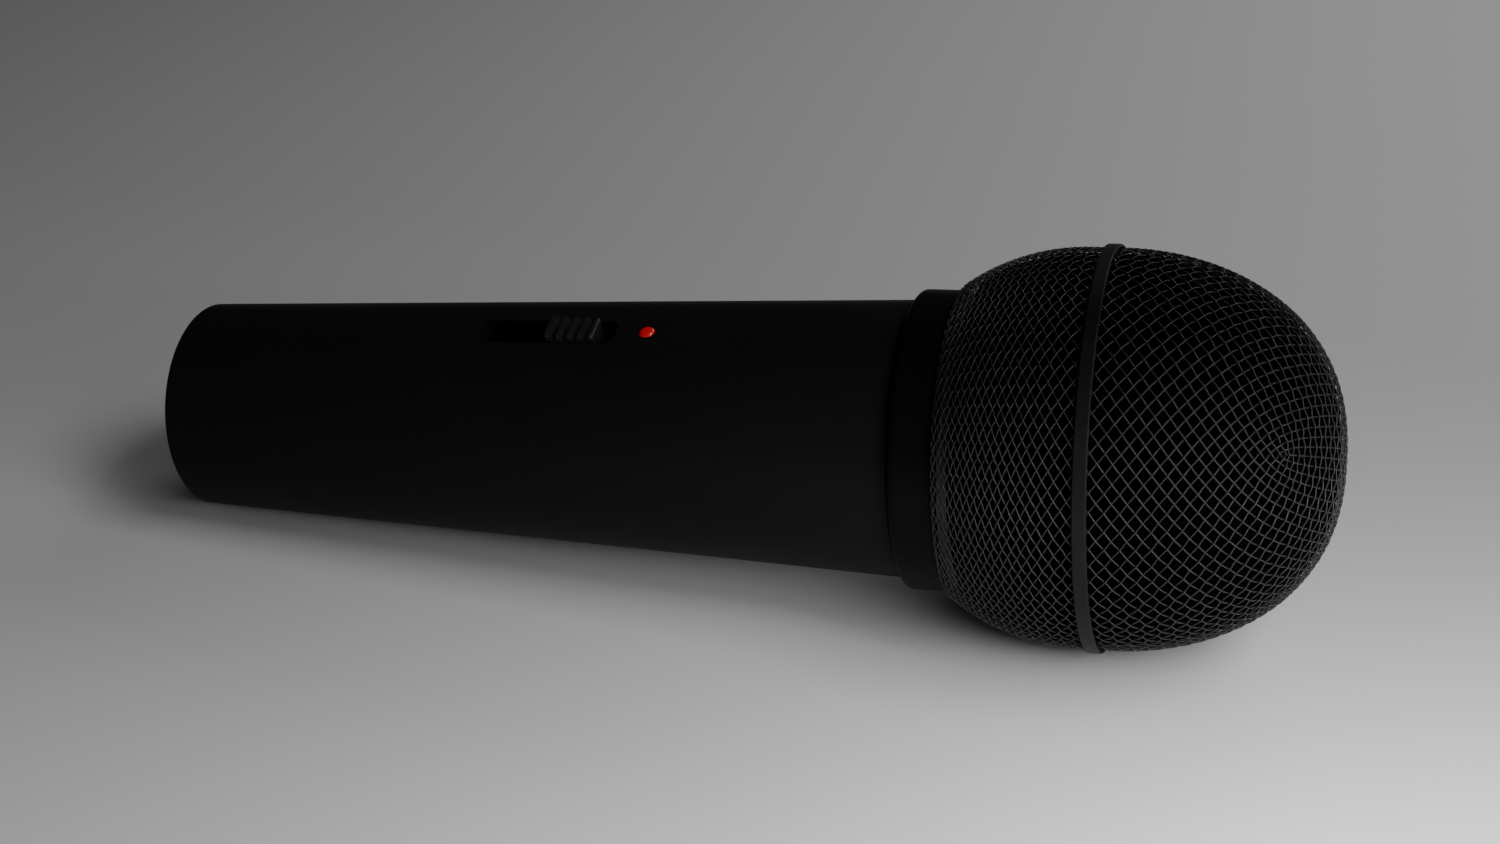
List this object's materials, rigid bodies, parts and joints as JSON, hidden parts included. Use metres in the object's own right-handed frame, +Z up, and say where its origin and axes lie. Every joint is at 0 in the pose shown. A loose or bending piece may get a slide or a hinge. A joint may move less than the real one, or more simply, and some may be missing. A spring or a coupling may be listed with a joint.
{
  "type": "dynamic microphone",
  "caption": "Handheld dynamic microphone with a tapered metal handle, sliding switch, indicator lamp and an unscrewing ball grille of woven wire.",
  "frame": {"origin": "on the floor under the middle of the outline, with the microphone lying on its tail rim and grille band", "axes": "+X along the floor from tail to head, +Z up; the microphone's own axis rises 5.2 degrees towards the head and the switch is rolled 16.6 degrees from the top towards -Y"},
  "size_m": [0.1561, 0.0514, 0.0513],
  "materials": {
    "handle_enamel": "black satin enamel over cast aluminium",
    "grille_enamel": "black satin enamel over turned aluminium",
    "mesh_wire": "woven steel wire under thin black enamel",
    "foam": "open-cell black foam",
    "knob_plastic": "moulded matte black nylon",
    "lamp_lens": "clear red moulded lens",
    "switch_plastic": "matte black moulded plastic",
    "lever_plastic": "ivory acetal",
    "steel": "bright nickel-plated steel",
    "black_steel": "black-oxide steel",
    "connector_metal": "nickel-plated turned shell",
    "contact_metal": "gold-flashed brass",
    "board": "green glass-epoxy laminate",
    "winding": "enamelled copper wire",
    "lead_sleeve": "coloured insulated wire",
    "rubber": "soft black rubber",
    "washer": "white slip washer",
    "capsule_shell": "turned aluminium",
    "magnet": "plated sintered magnet and soft iron",
    "film": "thin clear polyester film"
  },
  "bodies": {
    "handle": {"handle_shell": "handle_enamel", "tail_ring": "steel", "connector_shell": "connector_metal", "connector_insert": "switch_plastic", "contact_pins": "contact_metal", "grub_screw": "black_steel", "connector_leads": "lead_sleeve", "inner_tray": "switch_plastic", "circuit_board": "board", "board_screws": "steel", "switch_housing": "switch_plastic", "switch_contacts": "contact_metal", "switch_plate": "switch_plastic", "plate_screws": "steel", "indicator_lamp": "lamp_lens", "transformer_core": "black_steel", "transformer_bobbin": "switch_plastic", "transformer_winding": "winding", "transformer_leads": "lead_sleeve", "capsule_leads": "lead_sleeve", "capsule_mount": "rubber", "mount_retainer": "steel", "retainer_screws": "steel", "capsule_housing": "capsule_shell", "capsule_terminals": "contact_metal", "capsule_yoke": "magnet", "capsule_magnet": "magnet", "capsule_top_plate": "magnet", "diaphragm_clamp": "capsule_shell", "front_screen": "steel", "front_cover": "capsule_shell"},
    "switch_slider": {"switch_knob": "knob_plastic", "switch_lever": "lever_plastic", "switch_wiper": "contact_metal"},
    "moving_coil": {"diaphragm": "film", "voice_coil": "winding"},
    "seal_ring": {"thread_seal": "rubber"},
    "washer_ring": {"slip_washer": "washer"},
    "grille": {"collar": "grille_enamel", "mesh_retainer": "steel", "rear_mesh": "mesh_wire", "head_band": "grille_enamel", "front_mesh": "mesh_wire", "foam_rear": "foam", "foam_front": "foam"}
  },
  "joints": [
    {"name": "switch_slide", "type": "slide", "parent": "handle", "child": "switch_slider", "axis": [0.9958, 0, 0.0911], "range_m": [-0.0076, 0]},
    {"name": "coil_travel", "type": "slide", "parent": "handle", "child": "moving_coil", "axis": [0.9958, 0, 0.0911], "range_m": [-0.00025, 0.00025], "stiffness_N_per_m": 1000},
    {"name": "grille_off", "type": "slide", "parent": "handle", "child": "seal_ring", "axis": [0.9958, 0, 0.0911], "range_m": [0, 0.06]},
    {"name": "grille_advance", "type": "slide", "parent": "seal_ring", "child": "washer_ring", "axis": [0.9958, 0, 0.0911], "range_m": [0, 0.00625]},
    {"name": "grille_turn", "type": "hinge", "parent": "washer_ring", "child": "grille", "pos_m": [0.03277, 0, 0.02415], "axis": [0.9958, 0, 0.0911], "range_deg": [0, 1800]}
  ],
  "couplings": [
    {"joint": "grille_advance", "follows": "grille_turn", "m_per_rad": 0.00019894}
  ]
}
